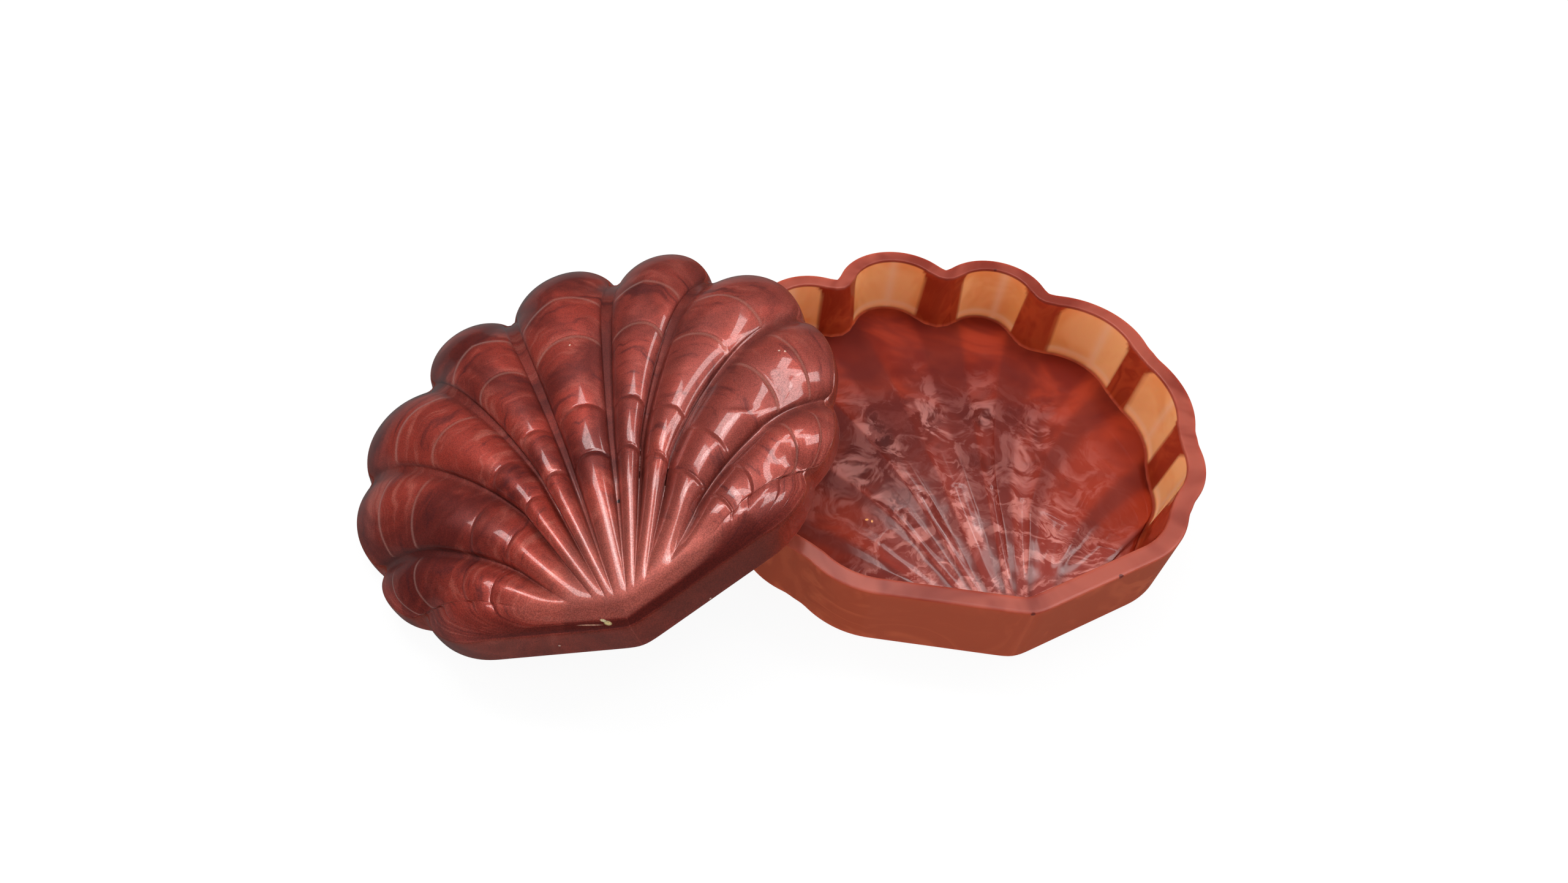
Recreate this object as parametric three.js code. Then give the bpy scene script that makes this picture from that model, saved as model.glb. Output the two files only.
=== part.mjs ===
// Scallop shell box: an open tray and a loose domed lid, both cast in resin.
// The lid leans on the tray: its left edge stands on the table and its right side lies on the tray's rim.
// Millimetres, +Z up. Each casting is drawn in the shell's own plan, with x across and y from the pointed
// front corner (0, 0) to the crown of the middle lobe, and is then turned and set in its place.
import * as THREE from 'three';

const { lerp, clamp, smoothstep, degToRad } = THREE.MathUtils;

// Plan of the shell, right half: straight side, rounded ear, then notches with a lobe between each two
const SIDE_CORNER = new THREE.Vector2(37.8, 11.2);
const EAR_RADIUS = 20.5;
const NOTCHES = [[41.7, 20.2], [52.1, 37.9], [55.0, 64.8], [38.2, 88.9], [14.7, 101.4]];
const BULGES = [3.0, 3.8, 6.4, 9.4, 10.7];
const FRONT_SLOPE = SIDE_CORNER.y / SIDE_CORNER.x;
const FRONT_SLANT = Math.hypot(1, FRONT_SLOPE);
const PLAN_CENTRE_Y = 50;

// Tray
const TRAY_HEIGHT = 18.7;
const WALL = 3.8;
const WALL_DRAFT = 1.3;
const FOOT_ROUND = 1.8;
const NOTCH_SOFTENING = 0.9;
const FLOOR_EDGE_Z = 3.0;
const FLOOR_FILLET = 0.7;
const FLOOR_RISE = 1.2;
const FLOOR_FRONT_INSET = 8.6;
const FLUTE_DEPTH = 1.3;
const FLUTE_GROOVE_WIDTH = 0.1;
const FLUTE_FRONT = 8.5;
const FLUTE_FULL = 14;
const FLUTE_WALL_FADE = 0.88;
const TRAY_TURN = degToRad(8.3);
const TRAY_COLOUR = 0x9a4a30;

// Lid
const PLATEAU_Z = 11.6;
const UMBO_DROP = 0.8;
const UMBO_Y = 5;
const UMBO_REACH = 30;
const LOBE_EDGE = { fall: 8.3, width: 26, power: 2.6, roundness: 1 };
const FRONT_EDGE = { fall: 6.7, width: 6.5, power: 2.2, roundness: 0.4545 };
const RIM_INSET = 0.5;
const NOTCH_CUT = 1.2;
const GROOVE_DEPTH = 2.0;
const GROOVE_WIDTH = 0.05;
const RELIEF_FRONT = 3.2;
const RELIEF_FULL = 9;
const EAR_RELIEF_START = 0.8;
const TOP_FRONT_INSET = 3.3;
const PLUG_HEIGHT = 2.0;
const PLUG_INSET = 4.4;
const PLUG_BEVEL = 3.0;
const RIM_CHAMFER = 0.3;
const RIM_CHAMFER_RISE = 0.4;
const LID_TURN = degToRad(15.2);
const LID_LEAN = degToRad(14.9);
const LEAN_AXIS = degToRad(-80.3);
const LID_PLACE = [-80.6, -7.2];
const LID_COLOUR = 0x8a3a32;

// Relief: the ribs fan out from a centre behind the front corner, straight at first and then bent to
// the lobes. Growth steps each lie at their share of the way from the front (0) to the edge (1).
const FAN_CENTRE_Y = -5;
const FAN_ANGLES = [39.8, 53.1, 67.5, 76.5, 84.1].map(degToRad);
const FAN_BEND = 0.455;
const FRONT_FOLD = 0.9;
const STEPS = [
  { at: 0.345, drop: 0.6 },
  { at: 0.487, drop: 0.7 },
  { at: 0.719, drop: 0.35 },
  { at: 0.86, drop: 0.35 },
];
const STEP_HALF = 0.012;
const RELIEF_START = 0.3;
const MOST_STRETCH = 0.9;
const EAR_GROOVE = 0.15;
const ACROSS_LOBE = [0, 0.07, 0.19, 0.35, 0.5, 0.65, 0.81, 0.93];
const BETWEEN_STEPS = [0, 0.1, 0.2, 0.27, 0.42, 0.55, 0.63, 0.79, 0.93, 0.97];
const STEP_EDGES = STEPS.flatMap(({ at }) => [at - STEP_HALF, at + STEP_HALF]);
const ALONG = [...BETWEEN_STEPS, ...STEP_EDGES].sort((a, b) => a - b);

// Point at share t of the arc from p to q that bulges outward by the given rise
function arcPoint(p, q, rise, t) {
  const dx = q[0] - p[0];
  const dy = q[1] - p[1];
  const chord = Math.hypot(dx, dy);
  const radius = (chord * chord / 4 + rise * rise) / (2 * rise);
  const half = Math.asin(chord / (2 * radius));
  const swing = lerp(-half, half, t);
  const along = chord / 2 + radius * Math.sin(swing);
  const out = radius * Math.cos(swing) - radius + rise;
  return [p[0] + (dx * along + dy * out) / chord, p[1] + (dy * along - dx * out) / chord];
}

// Point at share t of the rounded ear between the straight side and the first notch
function earPoint(t) {
  const back = SIDE_CORNER.clone().negate().normalize();
  const on = new THREE.Vector2(...NOTCHES[0]).sub(SIDE_CORNER).normalize();
  const half = Math.acos(back.dot(on)) / 2;
  const centre = back.clone().add(on).normalize().multiplyScalar(EAR_RADIUS / Math.sin(half)).add(SIDE_CORNER);
  const start = back.clone().multiplyScalar(EAR_RADIUS / Math.tan(half)).add(SIDE_CORNER);
  const point = start.rotateAround(centre, (Math.PI - 2 * half) * t);
  return [point.x, point.y];
}

// Reach of each column: its share of the way from the front corner (0) to the first notch (1)
function measureReach(columns) {
  const first = columns.findIndex((column) => column.lobe === 1);
  const runs = [0];
  for (let i = 1; i <= first; i += 1) {
    runs.push(runs[i - 1] + Math.hypot(columns[i].x - columns[i - 1].x, columns[i].y - columns[i - 1].y));
  }
  columns.forEach((column, i) => {
    const fromFront = Math.min(i, columns.length - i);
    column.reach = fromFront < first ? runs[fromFront] / runs[first] : 1;
  });
}

// Columns of the plan, anticlockwise from the front corner. Lobes are 1 to 9 from the right ear (0)
// to the left ear (10), and share is the place across the lobe, with grooves at 0 and 1.
function planColumns() {
  const sideEnd = earPoint(0);
  const side = [0, 0.1, 0.4, 0.7].map((t) => ({ x: sideEnd[0] * t, y: sideEnd[1] * t, lobe: 0, share: 0.5 }));
  const ear = [0, 0.25, 0.5, 0.75, 0.93].map((t) => {
    const [x, y] = earPoint(t);
    return { x, y, lobe: 0, share: 0.5 + t / 2 };
  });
  const lobeColumns = (from, to, rise, lobe) => ACROSS_LOBE.map((share) => {
    const [x, y] = arcPoint(from, to, rise, share);
    return { x, y, lobe, share };
  });
  const lobes = [1, 2, 3, 4].flatMap((n) => lobeColumns(NOTCHES[n - 1], NOTCHES[n], BULGES[n - 1], n));
  const right = [...side, ...ear, ...lobes];
  const [endX, endY] = NOTCHES[4];
  const middle = lobeColumns([endX, endY], [-endX, endY], BULGES[4], 5);
  const left = [...right.slice(1), { x: endX, y: endY, lobe: 5, share: 0 }].reverse().map((c) => (
    { x: -c.x, y: c.y, lobe: 10 - c.lobe, share: 1 - c.share }
  ));
  const columns = [...right, ...middle, ...left];
  columns.forEach((column, i) => {
    const before = columns.at(i - 1);
    const after = columns[(i + 1) % columns.length];
    const into = new THREE.Vector2(column.y - before.y, before.x - column.x).normalize();
    const out = new THREE.Vector2(after.y - column.y, column.x - after.x).normalize();
    column.normal = into.add(out).normalize();
    column.groove = column.lobe % 10 > 0 && (column.share === 0 || column.share === 1);
    column.place = column.lobe + column.share;
    column.inLobes = column.place >= 1 && column.place < 10;
    column.offFront = 1.4 * clamp(Math.min(column.place - 0.5, 10.5 - column.place), 0, 0.5)
      + 0.3 * clamp(Math.min(column.place - 1, 10 - column.place), 0, 1);
  });
  measureReach(columns);
  return columns;
}

const COLUMNS = planColumns();

// A ring of the casting that runs round the plan at one inset and height
function insetRing(inset, z, notchShift = 0) {
  return COLUMNS.map((column) => {
    const shift = (column.groove ? notchShift : 0) - inset;
    return new THREE.Vector3(column.x + column.normal.x * shift, column.y + column.normal.y * shift, z);
  });
}

// How far the relief lies below the lobes' crests, from 0 on a crest to 1 in a groove
function acrossLobe({ lobe, share, place }, grooveWidth) {
  if (lobe % 10 === 0) {
    const fromGroove = lobe === 0 ? 1 - share : share;
    return EAR_GROOVE * Math.pow(1 - clamp(fromGroove * 2, 0, 1), 4);
  }
  const fromGroove = Math.min(share, 1 - share) * 2;
  const up = clamp((fromGroove - grooveWidth) / (1 - grooveWidth), 0, 1);
  const besideEar = smoothstep(Math.abs(place - 5.5), 3.5, 4.5);
  return Math.pow(1 - up, 2.3) * (1 - (1 - EAR_GROOVE) * besideEar);
}

// Growth steps: each segment rises slowly outward and drops at its end
function growthSteps(along) {
  let start = 0;
  for (const { at, drop } of STEPS) {
    if (along < at + STEP_HALF - 1e-9) {
      const rise = Math.pow(clamp((along - start) / (at - start), 0, 1), 1.6);
      return drop * rise * (1 - smoothstep(along, at - STEP_HALF, at + STEP_HALF));
    }
    start = at;
  }
  return 0;
}

// Distance from the nearer of the two straight front sides
function frontDistance(x, y) {
  return (y - FRONT_SLOPE * Math.abs(x)) / FRONT_SLANT;
}

// Course of the groove between two lobes, from its end by the front (0) to the rim (1)
function grooveCourse(onRim, aim, frontInset) {
  const polar = Math.atan2(onRim.y - FAN_CENTRE_Y, onRim.x);
  const far = Math.hypot(onRim.x, onRim.y - FAN_CENTRE_Y);
  const offMiddle = Math.abs(aim - Math.PI / 2) / (Math.PI / 2 - FAN_ANGLES[0]);
  const inset = frontInset + FRONT_FOLD * (1 - Math.pow(offMiddle, 4));
  const endY = inset * FRONT_SLANT - FAN_CENTRE_Y;
  const near = endY / (Math.sin(aim) - FRONT_SLOPE * Math.abs(Math.cos(aim)));
  return (part) => {
    const radius = lerp(near, far, part);
    const bent = Math.pow(clamp((radius / far - FAN_BEND) / (1 - FAN_BEND), 0, 1), 1.15);
    const angle = lerp(aim, polar, bent);
    return new THREE.Vector2(radius * Math.cos(angle), FAN_CENTRE_Y + radius * Math.sin(angle));
  };
}

// Plan of the relief: each column runs from the rim ring in to the thin fold by the front, in which
// the lobes' ends lie behind and the front's ends before
function reliefPlan(rim, frontInset) {
  const aims = [...FAN_ANGLES, ...FAN_ANGLES.map((angle) => Math.PI - angle).reverse()];
  const grooveEnds = rim.filter((point, i) => COLUMNS[i].groove).map(({ x, y }) => new THREE.Vector2(x, y));
  const courses = grooveEnds.map((end, n) => grooveCourse(end, aims[n], frontInset));
  return (i, along) => {
    const { lobe, share, place, reach } = COLUMNS[i];
    const offMiddle = Math.abs(clamp(place, 1, 10) - 5.5);
    const stretch = Math.min(0.08 * offMiddle * offMiddle - 0.38, MOST_STRETCH);
    const part = along + stretch * Math.pow(along, 3) * (1 - along);
    const onRim = new THREE.Vector2(rim[i].x, rim[i].y);
    if (reach === 1) {
      const bulge = onRim.sub(grooveEnds[lobe - 1].clone().lerp(grooveEnds[lobe], share));
      return courses[lobe - 1](part).lerp(courses[lobe](part), share).addScaledVector(bulge, part);
    }
    const beside = place < 5 ? 0 : 9;
    const start = courses[beside](0);
    const inset = frontInset - FRONT_FOLD * (1 - Math.pow(reach, 4));
    const foldX = start.x * reach;
    const fold = new THREE.Vector2(foldX, inset * FRONT_SLANT + FRONT_SLOPE * Math.abs(foldX));
    const lean = courses[beside](part).sub(start.lerp(grooveEnds[beside], along));
    return fold.lerp(onRim, along).addScaledVector(lean, Math.pow(reach, 6));
  };
}

// Rings of the shell relief from its rim ring inward to the front, at heights given by a function
// of the place, the share along and the column
function reliefRings(rim, frontInset, height) {
  const plan = reliefPlan(rim, frontInset);
  return [...ALONG].reverse().map((along) => rim.map((point, i) => {
    const { x, y } = plan(i, along);
    return new THREE.Vector3(x, y, height(x, y, along, COLUMNS[i]));
  }));
}

// A closed solid through the rings. The first closes on a point in its middle, and the last, which
// lies folded along the front, is sewn up between its lobes and its front sides.
function loftedSolid(first, rings) {
  const points = [first, ...rings.flat()];
  const count = COLUMNS.length;
  const index = [];
  for (let i = 0; i < count; i += 1) {
    const next = (i + 1) % count;
    index.push(0, 1 + next, 1 + i);
    for (let ring = 0; ring < rings.length - 1; ring += 1) {
      const a = 1 + ring * count + i;
      const b = 1 + ring * count + next;
      index.push(a, b, b + count, a, b + count, a + count);
    }
  }
  const top = 1 + (rings.length - 1) * count;
  const ids = COLUMNS.map((column, i) => i);
  const back = ids.filter((i) => COLUMNS[i].reach === 1).reverse();
  const front = [...ids.filter((i) => i > back[0]), ...ids.filter((i) => i < back.at(-1))];
  let f = 0;
  for (let b = 0; b < back.length; b += 1) {
    const nextX = b + 1 < back.length ? points[top + back[b + 1]].x : Infinity;
    while (f + 1 < front.length && (b === 0 && f === 0 || points[top + front[f + 1]].x < nextX)) {
      index.push(top + back[b], top + front[f], top + front[f + 1]);
      f += 1;
    }
    if (b + 1 < back.length) index.push(top + back[b], top + front[f], top + back[b + 1]);
  }
  const geometry = new THREE.BufferGeometry();
  geometry.setAttribute('position', new THREE.Float32BufferAttribute(points.flatMap((p) => p.toArray()), 3));
  geometry.setIndex(index);
  geometry.translate(0, -PLAN_CENTRE_Y, 0);
  geometry.computeVertexNormals();
  return geometry;
}

function resin(color) {
  return new THREE.MeshStandardMaterial({ color, roughness: 0.25, metalness: 0 });
}

function makeTray() {
  const soft = NOTCH_SOFTENING;
  const wallFoot = WALL + WALL_DRAFT;
  const outside = [
    insetRing(FOOT_ROUND, 0, soft),
    insetRing(FOOT_ROUND * 0.3, FOOT_ROUND * 0.3, soft),
    insetRing(0, FOOT_ROUND, soft),
    insetRing(0, TRAY_HEIGHT, soft),
  ];
  const inside = [
    insetRing(WALL, TRAY_HEIGHT, soft),
    insetRing(wallFoot, FLOOR_EDGE_Z + FLOOR_FILLET, soft),
    insetRing(wallFoot + FLOOR_FILLET * 0.3, FLOOR_EDGE_Z + FLOOR_FILLET * 0.3, soft),
  ];
  const floorRim = insetRing(wallFoot + FLOOR_FILLET, FLOOR_EDGE_Z, soft);
  const floor = reliefRings(floorRim, FLOOR_FRONT_INSET, (x, y, along, column) => {
    const down = acrossLobe(column, FLUTE_GROOVE_WIDTH);
    const fade = smoothstep(frontDistance(x, y), FLUTE_FRONT, FLUTE_FULL)
      * smoothstep(along, 0, RELIEF_START) * (1 - smoothstep(along, FLUTE_WALL_FADE, 1));
    const rise = FLOOR_RISE * (1 - Math.pow(along, 4));
    return FLOOR_EDGE_Z + rise + fade * (FLUTE_DEPTH * down - growthSteps(along) * (1 - down));
  });
  const bottom = new THREE.Vector3(0, PLAN_CENTRE_Y, 0);
  const casting = loftedSolid(bottom, [...outside, ...inside, floorRim, ...floor]);
  const tray = new THREE.Mesh(casting, resin(TRAY_COLOUR));
  tray.name = 'tray';
  tray.rotation.z = TRAY_TURN;
  return tray;
}

// Distance from a place to the outline's lobes or to its front, and how far off the front that is
function nearestEdge(x, y, inLobes) {
  const place = new THREE.Vector3(x, y, 0);
  const onLine = new THREE.Vector3();
  let nearest = { away: Infinity, offFront: 0 };
  COLUMNS.forEach((column, i) => {
    if (column.inLobes !== inLobes) return;
    const next = COLUMNS[(i + 1) % COLUMNS.length];
    const from = new THREE.Vector3(column.x, column.y, 0);
    const line = new THREE.Line3(from, new THREE.Vector3(next.x, next.y, 0));
    const part = line.closestPointToPointParameter(place, true);
    const away = line.at(part, onLine).distanceTo(place);
    if (away < nearest.away) nearest = { away, offFront: lerp(column.offFront, next.offFront, part) };
  });
  return nearest;
}

// How far the lid's top has fallen below its plateau towards the edge
function edgeFall(x, y) {
  return Math.max(...[true, false].map((inLobes) => {
    const { away, offFront } = nearestEdge(x, y, inLobes);
    const between = (key) => lerp(FRONT_EDGE[key], LOBE_EDGE[key], offFront);
    const near = clamp(1 - away / between('width'), 0, 1);
    return between('fall') * (1 - Math.pow(1 - Math.pow(near, between('power')), between('roundness')));
  }));
}

// Height of the lid's carved top
function lidHeight(x, y, along, column) {
  const fall = edgeFall(x, y);
  const down = acrossLobe(column, GROOVE_WIDTH);
  const onPlateau = 1 - clamp(fall / FRONT_EDGE.fall, 0, 1);
  const fromUmbo = Math.hypot(x, y - UMBO_Y);
  const umbo = UMBO_DROP * (1 - smoothstep(fromUmbo, 0, UMBO_REACH)) * onPlateau;
  const inside = smoothstep(frontDistance(x, y), RELIEF_FRONT, RELIEF_FULL)
    * smoothstep(along, 0, RELIEF_START);
  const byEar = smoothstep(along, EAR_RELIEF_START, 1) * Math.pow(column.reach, 6);
  const fade = Math.max(inside, byEar);
  return PLATEAU_Z - umbo - fall + fade * (growthSteps(along) * (1 - down) - GROOVE_DEPTH * down);
}

function makeLid() {
  const under = [
    insetRing(PLUG_INSET + PLUG_BEVEL, -PLUG_HEIGHT),
    insetRing(PLUG_INSET, 0),
    insetRing(RIM_CHAMFER, 0),
    insetRing(0, RIM_CHAMFER_RISE),
  ];
  const rim = insetRing(RIM_INSET, 0, -NOTCH_CUT);
  rim.forEach((point, i) => { point.z = lidHeight(point.x, point.y, 1, COLUMNS[i]); });
  const side = insetRing(RIM_INSET * 0.28, 0, -NOTCH_CUT / 2);
  side.forEach((point, i) => { point.z = lerp(0.5, rim[i].z, 0.7); });
  const top = reliefRings(rim, TOP_FRONT_INSET, lidHeight);
  const bottom = new THREE.Vector3(0, PLAN_CENTRE_Y, -PLUG_HEIGHT);
  const lid = new THREE.Mesh(loftedSolid(bottom, [...under, side, rim, ...top]), resin(LID_COLOUR));
  lid.name = 'lid';
  lid.rotation.z = LID_TURN;
  return lid;
}

// The lid in its lean, let down until its lowest edge stands on the table
function leaningLid() {
  const lean = new THREE.Group();
  const axis = new THREE.Vector3(Math.cos(LEAN_AXIS), Math.sin(LEAN_AXIS), 0);
  lean.quaternion.setFromAxisAngle(axis, LID_LEAN);
  lean.add(makeLid());
  lean.position.set(...LID_PLACE, 0);
  lean.position.z = -new THREE.Box3().setFromObject(lean, true).min.z;
  return lean;
}

// The whole box, with its origin under the middle of its outline
const group = new THREE.Group();
group.add(makeTray(), leaningLid());
const extent = new THREE.Box3().setFromObject(group, true);
const middle = extent.getCenter(new THREE.Vector3());
group.position.set(-middle.x, -middle.y, 0);

export default group;
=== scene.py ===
"""Scallop shell box in pearl resin: an open tray, and a domed lid that leans on it."""
import math
from types import SimpleNamespace

import bpy
import numpy as np
from mathutils import Matrix, Vector, kdtree, noise


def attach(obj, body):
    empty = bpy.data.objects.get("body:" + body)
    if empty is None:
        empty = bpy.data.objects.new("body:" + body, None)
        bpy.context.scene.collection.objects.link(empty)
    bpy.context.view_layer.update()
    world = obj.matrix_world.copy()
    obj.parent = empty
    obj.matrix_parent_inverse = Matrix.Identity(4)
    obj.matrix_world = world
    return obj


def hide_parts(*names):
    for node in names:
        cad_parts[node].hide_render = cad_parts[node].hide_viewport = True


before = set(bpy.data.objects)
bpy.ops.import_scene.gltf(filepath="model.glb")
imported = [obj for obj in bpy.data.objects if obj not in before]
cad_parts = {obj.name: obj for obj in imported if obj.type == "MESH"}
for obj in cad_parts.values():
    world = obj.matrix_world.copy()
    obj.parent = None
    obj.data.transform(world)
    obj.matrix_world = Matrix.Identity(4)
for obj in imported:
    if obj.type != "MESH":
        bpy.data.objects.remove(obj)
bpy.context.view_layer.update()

# Tray: the open lower half of the shell, cast in pearl resin with an upright scalloped wall, a
# flat satin rim and the shell's relief in its floor. It stands on its flat underside and is not
# fixed to the lid.
MM = 0.001

# Its outline has two straight sides that meet in the front corner, a rounded ear on each side,
# and nine lobes with notches between them. The lid comes from the same master and shares it.
SIDE_CORNER = np.array([37.8, 11.2])
EAR_RADIUS = 20.5
RIGHT_NOTCHES = [[41.7, 20.2], [52.1, 37.9], [55.0, 64.8], [38.2, 88.9], [14.7, 101.4]]
RIGHT_BULGES = [3.0, 3.8, 6.4, 9.4]
MIDDLE_BULGE = 10.7
PLAN_CENTRE_Y = 50.0
FRONT_SLOPE = SIDE_CORNER[1] / SIDE_CORNER[0]
EDGE_POLISH = 0.16
CORNER_EASE, CORNER_EASE_REACH = 1.7, 7
FRONT_EASE, FRONT_EASE_REACH = 4.5, 14

# Numbers of points and columns round the shell; columns stand closer where the outline bends.
ARC_POINTS = 400
OUTLINE_POINTS = 8192
COLUMNS = 372
BEND_WEIGHT, MOST_BEND, BEND_BLUR = 3.2, 1.2, 0.5

MIRRORED = np.array([-1, 1])
NOTCHES = np.vstack([RIGHT_NOTCHES, np.flip(RIGHT_NOTCHES, 0) * MIRRORED])
BULGES = [*RIGHT_BULGES, MIDDLE_BULGE, *RIGHT_BULGES[::-1]]
LEFT_EAR = len(NOTCHES)
MIDDLE_LINE = (LEFT_EAR + 1) / 2
ROUNDING = 1e-6


def lobe_arc(start, end, rise):
    """Points of the round lobe that bulges outward between two notches."""
    along_chord = end - start
    chord = np.hypot(*along_chord)
    radius = (chord * chord / 4 + rise * rise) / (2 * rise)
    half = math.asin(chord / (2 * radius))
    swing = np.linspace(-half, half, ARC_POINTS, endpoint=False)
    along = (chord / 2 + radius * np.sin(swing)) / chord
    out = (radius * np.cos(swing) - radius + rise) / chord
    outward = np.array([along_chord[1], -along_chord[0]])
    return start + along[:, None] * along_chord + out[:, None] * outward


def ear_arc():
    """Points of the rounded ear, from the straight side to the first notch."""
    back = -SIDE_CORNER / np.hypot(*SIDE_CORNER)
    on = NOTCHES[0] - SIDE_CORNER
    on = on / np.hypot(*on)
    half = math.acos(back @ on) / 2
    middle = (back + on) / np.hypot(*(back + on))
    centre = middle * EAR_RADIUS / math.sin(half) + SIDE_CORNER
    start = back * EAR_RADIUS / math.tan(half) + SIDE_CORNER - centre
    turn = np.linspace(0, math.pi - 2 * half, ARC_POINTS, endpoint=False)
    x = start[0] * np.cos(turn) - start[1] * np.sin(turn)
    y = start[0] * np.sin(turn) + start[1] * np.cos(turn)
    return centre + np.stack([x, y], 1)


def ring_blur(values, step, width):
    """Gaussian blur of a closed row of values, which are one step apart."""
    waves = np.fft.rfftfreq(len(values), step)
    fade = np.exp(-2 * (math.pi * width * waves) ** 2)
    if values.ndim > 1:
        fade = fade[:, None]
    return np.fft.irfft(np.fft.rfft(values, axis=0) * fade, len(values), axis=0)


def shell_outline(notch_radius):
    """The outline as columns anticlockwise from the front corner. The place around it counts
    from the right ear (0 to 1) over nine lobes (1 to 10) to the left ear (10 to 11). Reach grows
    from 0 at the front corner to 1 at the ears' ends, and is 1 on the lobes."""
    ear = ear_arc()
    side = np.linspace(0, 1, ARC_POINTS, endpoint=False)[:, None] * ear[0]
    pieces = [(side, 0.5, 0.5), (ear, 0.5, 1.0)]
    for n, bulge in enumerate(BULGES):
        pieces.append((lobe_arc(NOTCHES[n], NOTCHES[n + 1], bulge), n + 1, n + 2))
    left_ear = np.vstack([ear, NOTCHES[0]])[:0:-1] * MIRRORED
    left_side = np.vstack([side, ear[0]])[:0:-1] * MIRRORED
    pieces += [(left_ear, LEFT_EAR, LEFT_EAR + 0.5), (left_side, LEFT_EAR + 0.5, LEFT_EAR + 0.5)]
    drawn = np.vstack([points for points, _, _ in pieces])
    around = np.concatenate([np.linspace(a, b, len(p), endpoint=False) for p, a, b in pieces])

    lengths = np.hypot(*(np.roll(drawn, -1, 0) - drawn).T)
    run = np.concatenate([[0], np.cumsum(lengths)])
    even = np.arange(OUTLINE_POINTS) / OUTLINE_POINTS * run[-1]
    step = run[-1] / OUTLINE_POINTS
    closed = np.vstack([drawn, drawn[:1]])
    points = np.stack([np.interp(even, run, closed[:, k]) for k in (0, 1)], 1)
    around = np.interp(even, run, np.append(around, around[-1]))
    from_corner = np.minimum(even, run[-1] - even)
    at_corner = np.exp(-((from_corner / CORNER_EASE_REACH) ** 4))[:, None]
    notched = ring_blur(points, step, notch_radius)
    points = notched * (1 - at_corner) + ring_blur(points, step, CORNER_EASE) * at_corner

    tangent = np.roll(points, -1, 0) - np.roll(points, 1, 0)
    tangent /= np.hypot(*tangent.T)[:, None]
    normal = np.stack([tangent[:, 1], -tangent[:, 0]], 1)
    calm = ring_blur(normal, step, FRONT_EASE)
    calm /= np.hypot(*calm.T)[:, None]
    calm /= np.sum(calm * normal, 1)[:, None]
    at_front = np.exp(-((from_corner / FRONT_EASE_REACH) ** 4))[:, None]
    outward = normal * (1 - at_front) + calm * at_front

    bend = np.hypot(*(np.roll(tangent, -1, 0) - np.roll(tangent, 1, 0)).T) / (2 * step)
    closeness = 1 + BEND_WEIGHT * ring_blur(np.minimum(bend, MOST_BEND), step, BEND_BLUR)
    weight = np.cumsum(closeness)
    pick = np.searchsorted(weight, np.arange(COLUMNS) / COLUMNS * weight[-1])
    notch_at = np.flatnonzero(np.diff(np.floor(around + ROUNDING)) > 0)
    on_lobes = (around >= 1) & (around < LEFT_EAR)
    lobe = np.minimum(np.floor(around[pick] + ROUNDING), LEFT_EAR).astype(int)
    return SimpleNamespace(
        xy=points[pick],
        outward=outward[pick],
        around=around[pick],
        lobe=lobe,
        share=around[pick] - lobe,
        reach=np.where(on_lobes, 1, from_corner / even[notch_at[0]])[pick],
        from_notch=np.abs(even[pick][:, None] - even[notch_at]).min(1),
        fine_xy=points,
        fine_around=around,
        fine_on_lobes=on_lobes,
    )


def ring(outline, inset, z, notch_shift, notch_reach):
    """One ring round the shell at an inset from its outline, with the notches moved outward."""
    shift = notch_shift * np.exp(-((outline.from_notch / notch_reach) ** 2))
    xy = outline.xy + outline.outward * (shift - inset - EDGE_POLISH)[:, None]
    return np.column_stack([xy, np.full(COLUMNS, float(z))])


# The wall: rounded at the foot, upright outside, drafted inside, with a fillet at the floor.
TRAY_HEIGHT = 18.7
WALL, WALL_DRAFT = 3.8, 1.3
FOOT_ROUND = 1.8
OUTER_ARRIS, INNER_ARRIS = 0.22, 0.35
TRAY_NOTCH_RADIUS, TRAY_NOTCH_SOFTENING, TRAY_NOTCH_REACH = 0.55, 0.6, 1.6
FLOOR_EDGE_Z, FLOOR_FILLET = 3.0, 0.7
UNDERSIDE_INSETS = (20.0, 8.0, 3.0)
RIM_FACE_INSETS = (0.8, 1.9, 3.0)

tray_outline = shell_outline(TRAY_NOTCH_RADIUS)


def tray_ring(inset, z):
    return ring(tray_outline, inset, z, TRAY_NOTCH_SOFTENING, TRAY_NOTCH_REACH)


def quarter(inset_from, z_from, inset_to, z_to, count, upright_start=False):
    """Levels round a quarter bend, as (inset, z), which starts level or upright."""
    levels = []
    for k in range(count + 1):
        turn = math.pi / 2 * k / count
        u, v = math.sin(turn), 1 - math.cos(turn)
        if upright_start:
            u, v = v, u
        levels.append((inset_from + (inset_to - inset_from) * u, z_from + (z_to - z_from) * v))
    return levels


wall_foot = WALL + WALL_DRAFT
rim_low, fillet_top = TRAY_HEIGHT - INNER_ARRIS, FLOOR_EDGE_Z + FLOOR_FILLET
outer_arris = quarter(0, TRAY_HEIGHT - OUTER_ARRIS, OUTER_ARRIS, TRAY_HEIGHT, 3, True)
inner_arris = quarter(WALL - INNER_ARRIS, TRAY_HEIGHT, WALL, rim_low, 3)
fillet = quarter(wall_foot, fillet_top, wall_foot + FLOOR_FILLET, FLOOR_EDGE_Z, 6, True)
outside_levels = [(inset, 0) for inset in UNDERSIDE_INSETS]
outside_levels += quarter(FOOT_ROUND, 0, 0, FOOT_ROUND, 6)
outside_levels += [(0, z) for z in np.linspace(4, TRAY_HEIGHT - 0.5, 8)] + outer_arris[:1]
rim_levels = outer_arris[1:] + [(inset, TRAY_HEIGHT) for inset in RIM_FACE_INSETS]
rim_levels += inner_arris[:-1]
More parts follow.
